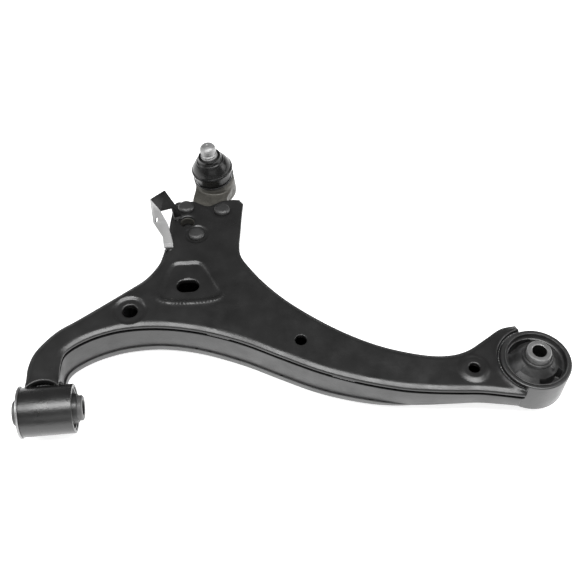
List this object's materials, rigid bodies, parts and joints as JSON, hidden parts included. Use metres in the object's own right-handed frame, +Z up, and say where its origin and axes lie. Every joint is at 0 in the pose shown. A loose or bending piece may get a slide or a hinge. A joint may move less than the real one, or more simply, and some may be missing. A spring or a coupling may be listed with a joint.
{
  "type": "suspension control arm",
  "caption": "Pressed-steel front lower control arm with two rubber bushes, a riveted ball joint and a sensor bracket.",
  "frame": {"origin": "centre of the front bush, on the pivot axis", "axes": "+X along the pivot axis to the rear bush, +Y out to the ball joint, +Z up along the rear bush's bore"},
  "size_m": [0.5485, 0.3478, 0.1024],
  "materials": {
    "black_coat": "semi-gloss black electrocoat on pressed steel",
    "weld": "black-coated weld bead",
    "sleeve_steel": "dark phosphated steel sleeve",
    "zinc_steel": "pale zinc-plated steel",
    "rubber": "moulded natural rubber, satin",
    "forging": "bare olive-grey forging",
    "seat_plastic": "acetal bearing liner",
    "stud_steel": "machined bright steel",
    "boot_rubber": "chloroprene boot, glossy with grease",
    "clip_steel": "dark spring steel"
  },
  "bodies": {
    "arm": {"upper_plate": "black_coat", "lower_shell": "black_coat", "bottom_plate": "black_coat", "seam_weld": "weld", "front_tube": "black_coat", "front_tube_weld": "weld", "front_bush_sleeve": "sleeve_steel", "front_bush_rubber": "rubber", "rear_ring": "black_coat", "rear_ring_weld": "weld", "rear_bush_sleeve": "sleeve_steel", "rear_bush_rubber": "rubber", "ball_joint_housing": "forging", "ball_seat": "seat_plastic", "housing_cap": "forging", "boot": "boot_rubber", "boot_bottom_ring": "clip_steel", "rivets": "black_coat", "sensor_bracket": "black_coat", "bracket_welds": "weld"},
    "front_core": {"front_bush_core": "zinc_steel"},
    "rear_core": {"rear_bush_core": "zinc_steel"},
    "ball_body": {"ball": "stud_steel"},
    "stud_collar": {"boot_top_ring": "clip_steel"},
    "stud": {"ball_stud": "stud_steel"}
  },
  "joints": [
    {"name": "front_bush_twist", "type": "hinge", "parent": "arm", "child": "front_core", "pos_m": [0, 0, 0], "axis": [1, 0, 0], "range_deg": [-15, 15], "stiffness_Nm_per_rad": 40},
    {"name": "rear_bush_tilt", "type": "hinge", "parent": "arm", "child": "rear_core", "pos_m": [0.48, 0, 0.0015], "axis": [1, 0, 0], "range_deg": [-12, 12], "stiffness_Nm_per_rad": 60, "deforming": ["rear_bush_rubber"]},
    {"name": "ball_tilt_x", "type": "hinge", "parent": "arm", "child": "ball_body", "pos_m": [0.177, 0.285, 0.013], "axis": [1, 0, 0], "range_deg": [-18, 18], "deforming": ["boot"]},
    {"name": "ball_tilt_y", "type": "hinge", "parent": "ball_body", "child": "stud_collar", "pos_m": [0.177, 0.285, 0.013], "axis": [0, 1, 0], "range_deg": [-18, 18], "deforming": ["boot"]},
    {"name": "stud_spin", "type": "hinge", "parent": "stud_collar", "child": "stud", "pos_m": [0.177, 0.285, 0.013], "axis": [-0.1132, 0, 0.9936], "continuous": true}
  ]
}
